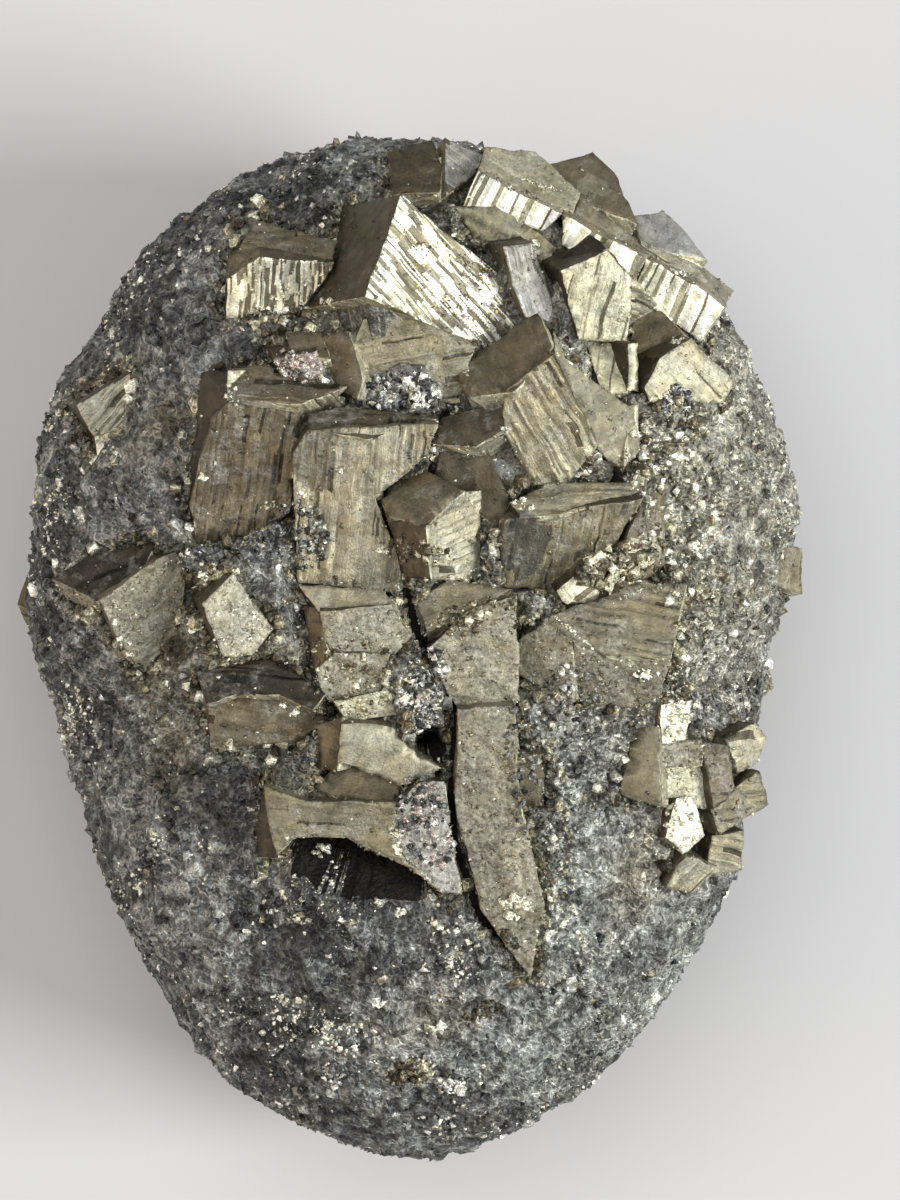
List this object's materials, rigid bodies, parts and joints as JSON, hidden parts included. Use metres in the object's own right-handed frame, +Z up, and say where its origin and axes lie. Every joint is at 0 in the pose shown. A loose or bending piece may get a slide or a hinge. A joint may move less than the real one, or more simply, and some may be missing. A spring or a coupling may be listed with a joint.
{
  "type": "marcasite nodule",
  "caption": "Egg-shaped grey mineral nodule lying on its flattened belly, with pale brassy flat-faced crystals grown out of its upper side and flanks.",
  "frame": {"origin": "middle of the flattened belly, on the surface that the nodule rests on", "axes": "+Y along the nodule towards its crystal-crowded end, +X across it, +Z up"},
  "size_m": [0.0494, 0.0638, 0.0334],
  "materials": {
    "matrix": "dull, fine-grained",
    "crystal": "striated metallic, partly tarnished"
  },
  "bodies": {
    "root": {"matrix": "matrix", "right_crystal_cluster": "crystal", "tall_crystals": "crystal", "left_crystal_cluster": "crystal", "pale_crystal": "crystal", "left_crystal": "crystal", "left_rim_crystal": "crystal", "upper_left_crystal": "crystal", "right_edge_crystals": "crystal", "right_nub": "crystal", "upper_back_crystals": "crystal", "left_flank_crystals": "crystal", "lower_left_crystals": "crystal", "lower_end_crystals": "crystal", "lower_right_crystals": "crystal", "right_flank_crystals": "crystal", "upper_right_crystals": "crystal", "top_end_crystals": "crystal"}
  },
  "joints": []
}
